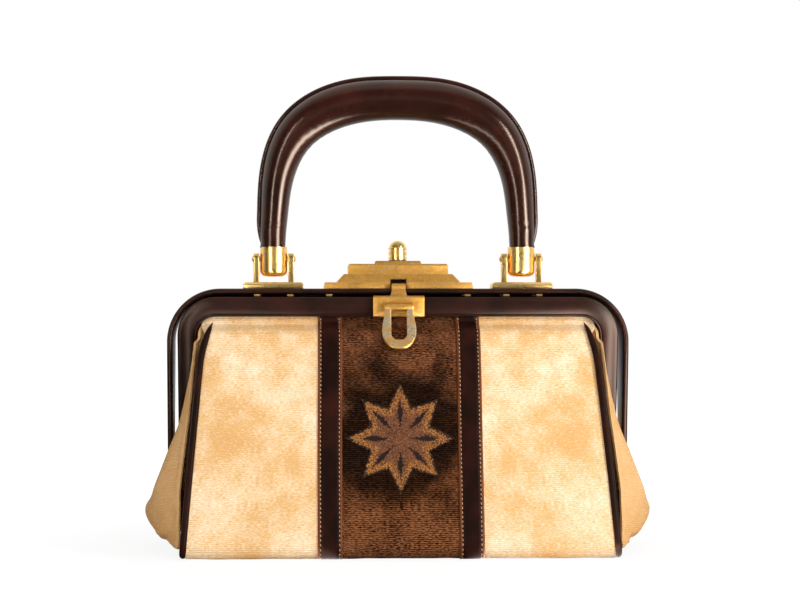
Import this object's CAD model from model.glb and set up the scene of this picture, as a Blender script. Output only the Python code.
"""Velvet frame handbag: the finish of every surface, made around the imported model."""

import math

import bpy
import numpy as np
from mathutils import Matrix, Vector, noise
from mathutils.bvhtree import BVHTree


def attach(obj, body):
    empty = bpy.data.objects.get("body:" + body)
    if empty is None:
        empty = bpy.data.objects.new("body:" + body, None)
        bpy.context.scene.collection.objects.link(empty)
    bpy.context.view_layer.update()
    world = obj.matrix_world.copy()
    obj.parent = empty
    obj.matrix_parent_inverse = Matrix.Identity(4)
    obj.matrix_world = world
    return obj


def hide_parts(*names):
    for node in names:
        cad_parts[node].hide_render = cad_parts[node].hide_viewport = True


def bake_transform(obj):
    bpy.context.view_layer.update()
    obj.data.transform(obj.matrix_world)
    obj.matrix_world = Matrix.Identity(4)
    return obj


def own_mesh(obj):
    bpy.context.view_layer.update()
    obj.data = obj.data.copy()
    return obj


bl_info = {
    "name": "Velvet handbag",
    "version": (1, 0, 0),
    "blender": (4, 5, 0),
    "location": "3D View > Sidebar > Handbag",
    "description": "Makes the handbag's velvet, leather and brass around its packed frame",
    "category": "Add Mesh",
}

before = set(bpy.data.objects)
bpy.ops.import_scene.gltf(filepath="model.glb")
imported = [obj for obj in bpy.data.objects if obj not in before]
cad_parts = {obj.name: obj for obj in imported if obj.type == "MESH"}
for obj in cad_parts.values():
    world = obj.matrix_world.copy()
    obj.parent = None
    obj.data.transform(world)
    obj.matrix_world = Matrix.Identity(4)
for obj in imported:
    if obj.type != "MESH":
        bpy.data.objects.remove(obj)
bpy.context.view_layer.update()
MM = 0.001

# The shape functions below work in millimetres, and lay_grid turns them into metres.
# Soft body
BODY_HALF_LENGTH = 117.9
BODY_SIDE_TAPER = 0.078
BODY_HALF_DEPTH = 70.0
BODY_CORNER_RADIUS = 7.5
SHOULDER = (-26.0, 123.5)
FRONT_FULLNESS = 6.0
PANEL_TOP = 134.0
PANEL_BACKING = 1.8
# How far down the cloth the crease lies where it leaves the jaw
PANEL_CREASE = 16.0
SEAM_X = 38.6
STRAP_HALF_WIDTH = 6.8
PIPING_RADIUS = 1.9
GUSSET_LOW, GUSSET_HIGH = 5.3, 127.0
LINING_HALF_WIDTH = 103.2
LINING_TOP = 132.0
STAR_RADIUS = 30.0
STAR_VALLEY_RADIUS = 18.0
STAR_Z = 65.0

# Frame
HINGE_Z = 46.0
JAW_TILT = math.radians(11.6)
JAW_REACH = 98.8
JAW_HALF_WIDTH = 124.2
JAW_WIDTH = 10.8
JAW_CORNER_RADIUS = 16.5
JAW_LEG_END = 9.0
HOOP_TOP = 147.5
HOOP_HALF_WIDTH = 130.2
HOOP_THICKNESS = 3.2
HOOP_HALF_DEPTH = 18.0
HOOP_TAPER_TOP = 112.0
HOOP_CORNER_RADIUS = 30.0
HOOP_END_RADIUS = 8.0
HOOP_LIP = 2.3
RING_AXIS = (-25.823, 137.0)
RING_LEAN = math.radians(22)
RING_BAR_RADIUS, RING_BAR_LENGTH = 1.95, 16.4
CLIP_PLACES = (-50, 0, 50)

# Handle: X, Z, half height and half depth at stations from one ferrule to the top
GRIP_STATIONS = (
    (71.0, 169.0, 7.0, 7.0),
    (71.6, 180.0, 8.3, 8.2),
    (71.2, 190.0, 8.9, 8.9),
    (69.0, 211.0, 10.0, 10.2),
    (57.2, 237.6, 12.2, 11.0),
    (31.0, 252.9, 13.0, 11.2),
    (0.0, 256.1, 12.6, 11.2),
)
WELT_HEIGHT = 2.4
WELT_RADIUS = 1.5
CREASE_Z = 184.0

# All sizes from here on are in metres.
# Thickness of the sheets
STAR_THICKNESS, STRAP_THICKNESS, GUSSET_THICKNESS, LINING_THICKNESS = 0.0006, 0.0009, 0.0014, 0.0008
STITCH_WIDTH, STITCH_HEIGHT, STITCH_LEAN = 0.00055, 0.0005, 0.10
RING_GILDED_BELOW = 0.1195

# Pattern sizes of the finishes
TUFT_SIZE = 0.012
FLECK_LENGTH, FLECK_SHARE_OF_ROW = 0.0019, 0.55
TWILL_PITCH = 0.0008
LEATHER_CLOUD_SIZE, LEATHER_GRAIN_SIZE = 0.022, 0.0006
TARNISH_SIZE, SPECK_SIZE = 0.006, 0.0014
# How far a point of the star is from its edge: STAR_REACH, less these shares of its way out along the
# ray and of its way off the ray
STAR_REACH, STAR_EDGE_ALONG, STAR_EDGE_OFF = 0.01374, 0.458, 0.889
# The rows of threads end in steps this long, this far in from the edge, and move it by up to this much
WEAVE_STEP, WEAVE_STEP_ZONE, WEAVE_STEP_REACH = 0.0011, 0.0016, 0.0009

# Camera
CAMERA_TURN = math.radians(-1.8)
CAMERA_DISTANCE, CAMERA_HEIGHT, CAMERA_SHIFT = 1.4, 0.141, 0.0014
CAMERA_ANGLE = math.radians(18.5)
LAMP_AIM = (0, 0, 0.13)


def linear(hex_colour):
    """An sRGB hex colour as linear red, green and blue."""
    parts = [int(hex_colour[i : i + 2], 16) / 255 for i in (1, 3, 5)]
    return [c / 12.92 if c <= 0.04045 else ((c + 0.055) / 1.055) ** 2.4 for c in parts]


def colour_property(name, description, hex_colour):
    return bpy.props.FloatVectorProperty(
        name=name, description=description, subtype="COLOR", size=3, min=0, max=1, default=linear(hex_colour)
    )


def length_property(name, description, metres):
    return bpy.props.FloatProperty(
        name=name, description=description, default=metres, min=0, subtype="DISTANCE", unit="LENGTH"
    )


class HandbagSizes(bpy.types.PropertyGroup):
    row_pitch: length_property("Row pitch", "From one weave row of the velvet to the next", 0.0011)
    crush_depth: length_property("Crush depth", "How far the velvet lies uneven", 0.0004)
    stitch_pitch: length_property("Stitch pitch", "From one stitch of the straps to the next", 0.0025)
    stitch_length: length_property("Stitch length", "Thread that shows in one stitch", 0.0017)
    stitch_inset: length_property("Stitch inset", "From a strap's edge to its stitching", 0.0015)
    strap_rise: length_property("Strap rise", "How far a strap stands off the velvet", 0.0014)
    rubbed_edge: length_property("Rubbed edge", "Width of the rounded edges on the brass", 0.0005)


class HandbagColours(bpy.types.PropertyGroup):
    cream: colour_property("Cream velvet", "Pile seen from the front", "#E9C48E")
    cream_light: colour_property("Cream highlight", "Pile that lies flat and catches light", "#F6E6CC")
    cream_deep: colour_property("Cream shade", "Ochre where the pile stands up", "#D7A364")
    side: colour_property("Side velvet", "Cream velvet of the gussets", "#D8A875")
    brown: colour_property("Brown velvet", "Pile of the centre panel", "#613921")
    brown_light: colour_property("Brown highlight", "Brown pile that lies flat", "#9C6440")
    brown_deep: colour_property("Brown blotches", "Brown pile that stands up a little", "#482A19")
    brown_dark: colour_property("Brown shade", "Brown pile seen end on", "#0E0502")
    star_gold: colour_property("Star", "Golden-brown flat weave", "#B0743A")
    star_middle: colour_property("Star middle", "Mauve-brown weave inside the golden bands", "#7C4E34")
    star_shade: colour_property("Star shade", "Darker threads of the flat weave", "#40210F")
    leather: colour_property("Leather", "Dark brown leather", "#180A07")
    leather_red: colour_property("Oxblood", "Where the leather is thin or rubbed", "#3A1710")
    leather_edge: colour_property("Leather edge", "Turned edge of the straps", "#6E3A1E")
    thread: colour_property("Thread", "Waxed thread of the straps", "#C9A076")
    brass: colour_property("Brass", "Polished gilt brass", "#F8CF80")
    brass_aged: colour_property("Aged brass", "Brass under tarnish", "#DEA244")
    tarnish: colour_property("Tarnish", "Darkest tarnish on the brass", "#6B4418")
    silver: colour_property("Bare metal", "Nickel under the worn gilding", "#DCCBAA")
    steel: colour_property("Steel", "Lugs, clips and spring", "#8A8886")
    lining: colour_property("Lining", "Plain twill", "#8C6B48")
    board: colour_property("Board", "Hard fibreboard", "#6E5238")


def deselect_all():
    if bpy.context.object and bpy.context.object.mode != "OBJECT":
        bpy.ops.object.mode_set(mode="OBJECT")
    bpy.ops.object.select_all(action="DESELECT")


def make_active(obj):
    deselect_all()
    obj.select_set(True)
    bpy.context.view_layer.objects.active = obj


def apply_modifier(obj, kind, **settings):
    """Adds a modifier with its settings and applies it."""
    make_active(obj)
    modifier = obj.modifiers.new(kind.title(), kind)
    for name, value in settings.items():
        setattr(modifier, name, value)
    bpy.ops.object.modifier_apply(modifier=modifier.name)


def lay_grid(name, columns, rows, place, size):
    """A grid whose vertices are laid on a surface. Its UV map is in metres of the flat piece.

    place turns parts of the way across and along, 0 to 1, into X, Y and Z in millimetres.
    """
    deselect_all()
    bpy.ops.mesh.primitive_grid_add(x_subdivisions=columns, y_subdivisions=rows, size=1, location=(0, 0, 0))
    obj = bpy.context.object
    obj.name = obj.data.name = name
    for vertex in obj.data.vertices:
        vertex.co = Vector(place(vertex.co.x + 0.5, vertex.co.y + 0.5)) * MM
    for corner in obj.data.uv_layers.active.data:
        corner.uv = (corner.uv[0] * size[0] * MM, corner.uv[1] * size[1] * MM)
    obj.data.update()
    return obj


def close_shape(obj, merge=0.00001):
    """Merges the edges that meet, closes open ends and turns the faces outwards."""
    make_active(obj)
    bpy.ops.object.mode_set(mode="EDIT")
    bpy.ops.mesh.select_all(action="SELECT")
    bpy.ops.mesh.remove_doubles(threshold=merge)
    bpy.ops.mesh.fill_holes(sides=0)
    bpy.ops.mesh.normals_make_consistent(inside=False)
    bpy.ops.object.mode_set(mode="OBJECT")
    return obj


def face_towards(obj, way):
    """Turns an open sheet's faces so that its first one looks towards way."""
    if obj.data.polygons[0].normal.dot(Vector(way)) < 0:
        make_active(obj)
        bpy.ops.object.mode_set(mode="EDIT")
        bpy.ops.mesh.select_all(action="SELECT")
        bpy.ops.mesh.flip_normals()
        bpy.ops.object.mode_set(mode="OBJECT")
    return obj


def smooth(obj, angle=40):
    make_active(obj)
    bpy.ops.object.shade_smooth_by_angle(angle=math.radians(angle))
    return obj


def finish_piece(obj, material, replaced, body=None):
    """Gives a piece its material, says what it stands for, and lets it ride on its body.

    A soft piece names no body, and bends between the bag and its front jaw.
    """
    obj.data.materials.clear()
    for one in material if isinstance(material, tuple) else (material,):
        obj.data.materials.append(one)
    if replaced:
        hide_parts(*replaced)
    if body:
        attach(obj, body)
    else:
        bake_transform(obj)
    return obj


def rounded_line(corners, radii, step=1.0):
    """Points about a step apart along a line whose corners are arcs."""
    corners = [np.array(corner, float) for corner in corners]
    points = [corners[0]]
    for before, corner, after, radius in zip(corners, corners[1:], corners[2:], radii):
        back = (before - corner) / np.linalg.norm(before - corner)
        onward = (after - corner) / np.linalg.norm(after - corner)
        half = math.acos(np.clip(back @ onward, -1, 1)) / 2
        middle = (back + onward) / np.linalg.norm(back + onward)
        centre = corner + middle * radius / math.sin(half)
        spoke = corner + back * radius / math.tan(half) - centre
        turn = math.pi - 2 * half
        count = max(2, int(radius * turn / step))
        for k in range(count + 1):
            angle = turn * k / count
            points.append(centre + spoke * math.cos(angle) - back * radius * math.sin(angle))
    points.append(corners[-1])
    return np.array(points)


class Outline:
    """A line of points that is read at any distance along it, with its outward side."""

    def __init__(self, points):
        steps = np.linalg.norm(np.diff(points, axis=0), axis=1)
        self.points = points[np.r_[True, steps > 1e-6]]
        steps = np.linalg.norm(np.diff(self.points, axis=0), axis=1)
        self.along = np.r_[0, np.cumsum(steps)]
        self.length = self.along[-1]

    def point(self, distance):
        return np.array([np.interp(distance, self.along, self.points[:, i]) for i in (0, 1)])

    def at(self, distance):
        """The point there, and the direction to the right of the way."""
        reach = 0.5
        ahead = self.point(min(distance + reach, self.length)) - self.point(max(distance - reach, 0))
        ahead /= np.linalg.norm(ahead)
        return self.point(distance), np.array([ahead[1], -ahead[0]])


def smooth_curve(points, first_slope, last_slope):
    """A function from 0 to 1 through the points, smooth at each of them."""
    points = np.array(points, float)
    count = len(points)
    gaps = np.linalg.norm(np.diff(points[:, :2], axis=0), axis=1)
    knots = np.r_[0, np.cumsum(gaps)]
    left = np.eye(count)
    right = np.zeros_like(points)
    right[0], right[-1] = first_slope, last_slope
    for i in range(1, count - 1):
        before, after = gaps[i - 1], gaps[i]
        left[i, i - 1 : i + 2] = after, 2 * (before + after), before
        right[i] = 3 * (
            after * (points[i] - points[i - 1]) / before + before * (points[i + 1] - points[i]) / after
        )
    slopes = np.linalg.solve(left, right)

    def read(part):
        distance = part * knots[-1]
        i = min(int(np.searchsorted(knots, distance, side="right")) - 1, count - 2)
        t = (distance - knots[i]) / gaps[i]
        return (
            (1 + 2 * t) * (1 - t) ** 2 * points[i]
            + t * (1 - t) ** 2 * gaps[i] * slopes[i]
            + t * t * (3 - 2 * t) * points[i + 1]
            - t * t * (1 - t) * gaps[i] * slopes[i + 1]
        )

    return read


def uneven(x, y, size, seed=0.0):
    """Smooth unevenness between -1 and 1, with lumps of about this size."""
    return noise.noise(Vector((x / size, y / size, seed)))


def jaw_point(reach, out):
    """Y and Z of a point this far up the front jaw from the hinge, and out of its plane."""
    return (
        -reach * math.sin(JAW_TILT) - out * math.cos(JAW_TILT),
        HINGE_Z + reach * math.cos(JAW_TILT) - out * math.sin(JAW_TILT),
    )


def body_half_width(z):
    return BODY_HALF_LENGTH - BODY_SIDE_TAPER * z


def body_outline():
    """Side view of the velvet, from behind the front jaw under the base to the rear jaw."""
    chord_y, chord_z = SHOULDER[0] + BODY_HALF_DEPTH, SHOULDER[1]
    length = math.hypot(chord_y, chord_z)
    middle = (
        (SHOULDER[0] - BODY_HALF_DEPTH) / 2 - FRONT_FULLNESS * chord_z / length,
        SHOULDER[1] / 2 + FRONT_FULLNESS * chord_y / length,
    )
    top = (PANEL_TOP - HINGE_Z) / math.cos(JAW_TILT)
    front = [jaw_point(top, -0.3), jaw_point(83.6, -0.3), SHOULDER, middle, (-BODY_HALF_DEPTH, 0)]
    rear = [(-y, z) for y, z in reversed(front)]
    radii = [3, 7, 430, BODY_CORNER_RADIUS]
    return Outline(rounded_line(front + rear, radii + radii[::-1]))


BODY = body_outline()
# How far along the cloth the star's middle lies
STAR_ALONG = next(d for d in np.arange(0, BODY.length, 0.1) if BODY.point(d)[1] < STAR_Z and BODY.point(d)[0] < 0)


def add_node(tree, kind, settings=None, inputs=None):
    """Adds a node with its settings. An input is a value, or the socket it is linked from."""
    node = tree.nodes.new(kind)
    settings = dict(settings or {})
    stops = settings.pop("stops", ())
    for name, value in settings.items():
        setattr(node, name, value)
    for k, (place, shade) in enumerate(stops):
        stop = node.color_ramp.elements[k] if k < 2 else node.color_ramp.elements.new(place)
        stop.position, stop.color = place, (shade,) * 3 + (1,) if isinstance(shade, (int, float)) else (*shade, 1)
    for name, value in (inputs or {}).items():
        if isinstance(value, bpy.types.NodeSocket):
            tree.links.new(value, node.inputs[name])
        else:
            node.inputs[name].default_value = value
    return node


def new_material(name):
    """An empty material with its tree and its output."""
    material = bpy.data.materials.new(name)
    material.use_nodes = True
    tree = material.node_tree
    tree.nodes.clear()
    return material, tree, add_node(tree, "ShaderNodeOutputMaterial")


def opaque(colour):
    return (*colour, 1)


def cut_velvet(name, middle, light, deep, gap, patch_size, whitened, row_shade, glint, sheen, shaded=None):
    """Cut velvet: short pile in cross rows, crushed in patches, so it goes lighter and darker in blotches.

    gap is the colour between rows, whitened how much of the pile lies flat, row_shade how dark the
    gaps are, glint how light single flecks are, and shaded a function for places of their own shade.
    Single hairs are too fine to show, so flecks stand for tufts of them.
    """
    sizes = bpy.context.scene.handbag_sizes
    material, tree, output = new_material(name)
    cloth = add_node(tree, "ShaderNodeTexCoord")
    flat = cloth.outputs["UV"]
    # Soft areas of a few centimetres
    patches = add_node(
        tree, "ShaderNodeTexNoise", None,
        {"Vector": flat, "Scale": 1 / patch_size, "Detail": 3.0, "Roughness": 0.5},
    )
    # Crushed tufts of 1 to 12 mm
    tufts = add_node(
        tree, "ShaderNodeTexNoise", None, {"Vector": flat, "Scale": 1 / TUFT_SIZE, "Detail": 8.0, "Roughness": 0.72}
    )
    # Flecks along the rows, about 2 mm long and half a row high
    stretched = add_node(
        tree, "ShaderNodeMapping", None,
        {"Vector": flat, "Scale": (1 / FLECK_LENGTH, 1 / (sizes.row_pitch * FLECK_SHARE_OF_ROW), 1)},
    )
    flecks = add_node(
        tree, "ShaderNodeTexNoise", None,
        {"Vector": stretched.outputs["Vector"], "Scale": 1.0, "Detail": 2.0, "Roughness": 0.6},
    )
    # A band texture repeats every pi / 10 of its own unit
    rows = add_node(
        tree, "ShaderNodeTexWave", {"bands_direction": "Y"},
        {
            "Vector": flat, "Scale": math.pi / 10 / sizes.row_pitch,
            "Distortion": 0.9, "Detail": 2.0, "Detail Scale": 0.5,
        },
    )
    patch_ramp = add_node(
        tree, "ShaderNodeValToRGB", {"stops": ((0.30, deep), (0.56, middle))}, {"Fac": patches.outputs["Fac"]}
    )
    both = add_node(
        tree, "ShaderNodeMath", {"operation": "MULTIPLY_ADD"},
        {0: patches.outputs["Fac"], 1: 1.7, 2: tufts.outputs["Fac"]},
    )
    grainy = add_node(
        tree, "ShaderNodeMath", {"operation": "MULTIPLY_ADD"},
        {0: flecks.outputs["Fac"], 1: 0.6, 2: both.outputs["Value"]},
    )
    lit_ramp = add_node(
        tree, "ShaderNodeMapRange", None,
        {"Value": grainy.outputs["Value"], "From Min": 1.45, "From Max": 2.0, "To Min": 0.0, "To Max": whitened},
    )
    lit = add_node(
        tree, "ShaderNodeMix", {"data_type": "RGBA"},
        {"Factor": lit_ramp.outputs["Result"], 6: patch_ramp.outputs["Color"], 7: opaque(light)},
    )
    # Flecks and row gaps show most where the pile stands up
    standing = add_node(
        tree, "ShaderNodeMapRange", None,
        {"Value": tufts.outputs["Fac"], "From Min": 0.62, "From Max": 0.36, "To Min": 0.35, "To Max": 1.0},
    )
    fleck_ramp = add_node(
        tree, "ShaderNodeMapRange", None,
        {"Value": flecks.outputs["Fac"], "From Min": 0.54, "From Max": 0.32, "To Min": 0.0, "To Max": row_shade * 1.9},
    )
    gaps = add_node(
        tree, "ShaderNodeMath", {"operation": "MULTIPLY_ADD"},
        {0: rows.outputs["Fac"], 1: row_shade * 1.3, 2: fleck_ramp.outputs["Result"]},
    )
    gap_amount = add_node(
        tree, "ShaderNodeMath", {"operation": "MULTIPLY", "use_clamp": True},
        {0: gaps.outputs["Value"], 1: standing.outputs["Result"]},
    )
    colour = add_node(
        tree, "ShaderNodeMix", {"data_type": "RGBA"},
        {"Factor": gap_amount.outputs["Value"], 6: lit.outputs[2], 7: opaque(gap)},
    ).outputs[2]
    # Single flecks of pile that catch the light
    bright = add_node(
        tree, "ShaderNodeMapRange", None,
        {"Value": flecks.outputs["Fac"], "From Min": 0.53, "From Max": 0.70, "To Min": 0.0, "To Max": glint},
    )
    colour = add_node(
        tree, "ShaderNodeMix", {"data_type": "RGBA"},
        {"Factor": bright.outputs["Result"], 6: colour, 7: opaque(light)},
    ).outputs[2]
    if shaded:
        colour = shaded(tree, cloth, patches, gaps, colour)
    relief = add_node(
        tree, "ShaderNodeMath", {"operation": "MULTIPLY_ADD"},
        {0: tufts.outputs["Fac"], 1: 1.6, 2: rows.outputs["Fac"]},
    )
    bump = add_node(
        tree, "ShaderNodeBump", None, {"Strength": 0.5, "Distance": 0.0005, "Height": relief.outputs["Value"]}
    )
    shader = add_node(
        tree, "ShaderNodeBsdfPrincipled", None,
        {
            "Base Color": colour, "Roughness": 0.9, "Specular IOR Level": 0.04,
            "Sheen Weight": sheen, "Sheen Roughness": 0.4, "Sheen Tint": opaque(light),
            "Normal": bump.outputs["Normal"],
        },
    )
    tree.links.new(shader.outputs[0], output.inputs[0])
    return material


def brushed_centre(tree, cloth, patches, gaps, colour):
    """Brown pile brushed up all round the star, so it goes nearly black there, with light rows below it."""
    colours = bpy.context.scene.handbag_colours
    parts = add_node(tree, "ShaderNodeSeparateXYZ", None, {0: cloth.outputs["UV"]})
    # Distance from the star's middle on the flat cloth
    away = add_node(
        tree, "ShaderNodeVectorMath", {"operation": "DISTANCE"},
        {0: cloth.outputs["UV"], 1: (SEAM_X * MM, STAR_ALONG * MM, 0)},
    )
    wavy = add_node(
        tree, "ShaderNodeMath", {"operation": "MULTIPLY_ADD"},
        {0: patches.outputs["Fac"], 1: 0.055, 2: away.outputs["Value"]},
    )
    near = add_node(
        tree, "ShaderNodeMapRange", {"interpolation_type": "SMOOTHSTEP"},
        {"Value": wavy.outputs["Value"], "From Min": 0.079, "From Max": 0.057, "To Min": 0.0, "To Max": 1.0},
    )
    # Fine rows and flecks still show in the dark
    kept = add_node(
        tree, "ShaderNodeMapRange", None,
        {"Value": gaps.outputs["Value"], "From Min": 0.25, "From Max": 0.6, "To Min": 0.80, "To Max": 1.0},
    )
    darkened = add_node(
        tree, "ShaderNodeMath", {"operation": "MULTIPLY"}, {0: near.outputs["Result"], 1: kept.outputs["Result"]}
    )
    dark = add_node(
        tree, "ShaderNodeMix", {"data_type": "RGBA"},
        {"Factor": darkened.outputs["Value"], 6: colour, 7: opaque(colours.brown_dark)},
    )
    # Light backs of the rows in the lower third of the front
    low = add_node(
        tree, "ShaderNodeMapRange", None,
        {"Value": parts.outputs["Y"], "From Min": 0.105, "From Max": 0.13, "To Min": 0.0, "To Max": 0.36},
    )
    backs = add_node(
        tree, "ShaderNodeMapRange", None,
        {"Value": gaps.outputs["Value"], "From Min": 0.75, "From Max": 0.3, "To Min": 0.0, "To Max": 1.0},
    )
    amount = add_node(
        tree, "ShaderNodeMath", {"operation": "MULTIPLY"}, {0: low.outputs["Result"], 1: backs.outputs["Result"]}
    )
    lifted = add_node(
        tree, "ShaderNodeMix", {"data_type": "RGBA"},
        {"Factor": amount.outputs["Value"], 6: dark.outputs[2], 7: opaque(colours.brown_light)},
    )
    return lifted.outputs[2]


def woven_star():
    """Flat weave: diagonal golden threads, with a dark slit down the middle of each ray."""
    colours = bpy.context.scene.handbag_colours
    material, tree, output = new_material("Flat_weave_golden_brown")
    place = add_node(tree, "ShaderNodeTexCoord")
    centred = add_node(
        tree, "ShaderNodeMapping", {"vector_type": "TEXTURE"},
        {"Vector": place.outputs["Object"], "Location": (0, 0, STAR_Z * MM)},
    )
    parts = add_node(tree, "ShaderNodeSeparateXYZ", None, {0: centred.outputs["Vector"]})
    angle = add_node(
        tree, "ShaderNodeMath", {"operation": "ARCTAN2"}, {0: parts.outputs["X"], 1: parts.outputs["Z"]}
    )
    # The angle to the nearest of the eight rays
    folded = add_node(
        tree, "ShaderNodeMath", {"operation": "PINGPONG"}, {0: angle.outputs["Value"], 1: math.pi / 8}
    )
    # How far from the middle, sideways and upwards
    x_squared = add_node(
        tree, "ShaderNodeMath", {"operation": "MULTIPLY"}, {0: parts.outputs["X"], 1: parts.outputs["X"]}
    )
    both_squared = add_node(
        tree, "ShaderNodeMath", {"operation": "MULTIPLY_ADD"},
        {0: parts.outputs["Z"], 1: parts.outputs["Z"], 2: x_squared.outputs["Value"]},
    )
    radius = add_node(tree, "ShaderNodeMath", {"operation": "SQRT"}, {0: both_squared.outputs["Value"]})
    sine = add_node(tree, "ShaderNodeMath", {"operation": "SINE"}, {0: folded.outputs["Value"]})
    cosine = add_node(tree, "ShaderNodeMath", {"operation": "COSINE"}, {0: folded.outputs["Value"]})
    off_axis = add_node(
        tree, "ShaderNodeMath", {"operation": "MULTIPLY"}, {0: sine.outputs["Value"], 1: radius.outputs["Value"]}
    )
    along_axis = add_node(
        tree, "ShaderNodeMath", {"operation": "MULTIPLY"}, {0: cosine.outputs["Value"], 1: radius.outputs["Value"]}
    )
    # Weave steps make every edge in the figure ragged by about half a millimetre
    wander = add_node(
        tree, "ShaderNodeTexNoise", None, {"Vector": place.outputs["Object"], "Scale": 800.0, "Detail": 1.0}
    )
    ragged = add_node(
        tree, "ShaderNodeMath", {"operation": "MULTIPLY_ADD"}, {0: wander.outputs["Fac"], 1: 0.0044, 2: -0.0022}
    )
    # Distance from the ray's edge
    from_axis = add_node(
        tree, "ShaderNodeMath", {"operation": "MULTIPLY_ADD"},
        {0: off_axis.outputs["Value"], 1: -STAR_EDGE_OFF, 2: STAR_REACH},
    )
    from_edge = add_node(
        tree, "ShaderNodeMath", {"operation": "MULTIPLY_ADD"},
        {0: along_axis.outputs["Value"], 1: -STAR_EDGE_ALONG, 2: from_axis.outputs["Value"]},
    )
    uneven_edge = add_node(
        tree, "ShaderNodeMath", {"operation": "ADD"}, {0: from_edge.outputs["Value"], 1: ragged.outputs["Value"]}
    )
    inner = add_node(
        tree, "ShaderNodeMapRange", None,
        {"Value": uneven_edge.outputs["Value"], "From Min": 0.0033, "From Max": 0.0047, "To Min": 0.0, "To Max": 0.92},
    )
    # The slit is 3.6 mm wide at 14 mm from the centre and closes at 5 and 23 mm
    from_middle = add_node(
        tree, "ShaderNodeMath", {"operation": "SUBTRACT"}, {0: radius.outputs["Value"], 1: 0.014}
    )
    gap = add_node(tree, "ShaderNodeMath", {"operation": "ABSOLUTE"}, {0: from_middle.outputs["Value"]})
    slit_half = add_node(
        tree, "ShaderNodeMath", {"operation": "MULTIPLY_ADD"}, {0: gap.outputs["Value"], 1: -0.2, 2: 0.0018}
    )
    edge = add_node(
        tree, "ShaderNodeMath", {"operation": "MULTIPLY_ADD"},
        {0: ragged.outputs["Value"], 1: 0.6, 2: slit_half.outputs["Value"]},
    )
    inside = add_node(
        tree, "ShaderNodeMath", {"operation": "SUBTRACT"}, {0: edge.outputs["Value"], 1: off_axis.outputs["Value"]}
    )
    slit = add_node(
        tree, "ShaderNodeMath", {"operation": "MULTIPLY", "use_clamp": True}, {0: inside.outputs["Value"], 1: 2500.0}
    )
    # Twill threads, running down to the right
    twill = add_node(
        tree, "ShaderNodeTexWave", {"bands_direction": "DIAGONAL"},
        {
            "Vector": place.outputs["Object"], "Scale": math.pi / 10 / TWILL_PITCH,
            "Distortion": 3.0, "Detail": 3.0, "Detail Scale": 2.0,
        },
    )
    gold = add_node(
        tree, "ShaderNodeMix", {"data_type": "RGBA"},
        {"Factor": inner.outputs["Result"], 6: opaque(colours.star_gold), 7: opaque(colours.star_middle)},
    )
    # Threads catch the light one by one
    grain = add_node(
        tree, "ShaderNodeTexNoise", None,
        {"Vector": place.outputs["Object"], "Scale": 1 / TWILL_PITCH, "Detail": 2.0, "Roughness": 0.6},
    )
    speckled = add_node(
        tree, "ShaderNodeMapRange", None,
        {"Value": grain.outputs["Fac"], "From Min": 0.62, "From Max": 0.40, "To Min": 0.0, "To Max": 0.85},
    )
    shade = add_node(
        tree, "ShaderNodeMath", {"operation": "MULTIPLY_ADD", "use_clamp": True},
        {0: twill.outputs["Fac"], 1: 0.25, 2: speckled.outputs["Result"]},
    )
    threads = add_node(
        tree, "ShaderNodeMix", {"data_type": "RGBA"},
        {"Factor": shade.outputs["Value"], 6: gold.outputs[2], 7: opaque(colours.star_shade)},
    )
    # Velvet pile leans over the star's edge here and there
    buried = add_node(
        tree, "ShaderNodeMapRange", None,
        {"Value": uneven_edge.outputs["Value"], "From Min": 0.0013, "From Max": 0.0006, "To Min": 0.0, "To Max": 1.0},
    )
    dark_part = add_node(
        tree, "ShaderNodeMath", {"operation": "MAXIMUM"}, {0: slit.outputs["Value"], 1: buried.outputs["Result"]}
    )
    dark_amount = add_node(
        tree, "ShaderNodeMath", {"operation": "MULTIPLY"}, {0: dark_part.outputs["Value"], 1: 0.95}
    )
    cut = add_node(
        tree, "ShaderNodeMix", {"data_type": "RGBA"},
        {"Factor": dark_amount.outputs["Value"], 6: threads.outputs[2], 7: opaque(colours.brown_dark)},
    )
    bump = add_node(
        tree, "ShaderNodeBump", None, {"Strength": 0.5, "Distance": 0.0003, "Height": twill.outputs["Fac"]}
    )
    shader = add_node(
        tree, "ShaderNodeBsdfPrincipled", None,
        {
            "Base Color": cut.outputs[2], "Roughness": 0.8, "Specular IOR Level": 0.2,
            "Normal": bump.outputs["Normal"],
        },
    )
    tree.links.new(shader.outputs[0], output.inputs[0])
    return material


def polished_leather(name, dark, warm, roughness, warmth, gloss=0.5):
    """Polished calf leather: nearly black, warmer where it is rubbed, with fine grain and soft gloss."""
    material, tree, output = new_material(name)
    place = add_node(tree, "ShaderNodeTexCoord")
    clouds = add_node(
        tree, "ShaderNodeTexNoise", None,
        {"Vector": place.outputs["Object"], "Scale": 1 / LEATHER_CLOUD_SIZE, "Detail": 4.0, "Roughness": 0.55},
    )
    # Grain a little over half a millimetre across
    grain = add_node(
        tree, "ShaderNodeTexNoise", None,
        {"Vector": place.outputs["Object"], "Scale": 1 / LEATHER_GRAIN_SIZE, "Detail": 3.0, "Roughness": 0.6},
    )
    ramp = add_node(
        tree, "ShaderNodeValToRGB", {"stops": ((0.5 - warmth, dark), (1.0 - warmth * 0.6, warm))},
        {"Fac": clouds.outputs["Fac"]},
    )
    dull = add_node(
        tree, "ShaderNodeMapRange", None,
        {"Value": clouds.outputs["Fac"], "To Min": roughness - 0.06, "To Max": roughness + 0.06},
    )
    bump = add_node(
        tree, "ShaderNodeBump", None, {"Strength": 0.1, "Distance": 0.0002, "Height": grain.outputs["Fac"]}
    )
    shader = add_node(
        tree, "ShaderNodeBsdfPrincipled", None,
        {
            "Base Color": ramp.outputs["Color"], "Roughness": dull.outputs["Result"], "Specular IOR Level": gloss,
            "Specular Tint": (1.0, 0.80, 0.64, 1), "Normal": bump.outputs["Normal"],
        },
    )
    tree.links.new(shader.outputs[0], output.inputs[0])
    return material


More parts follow.
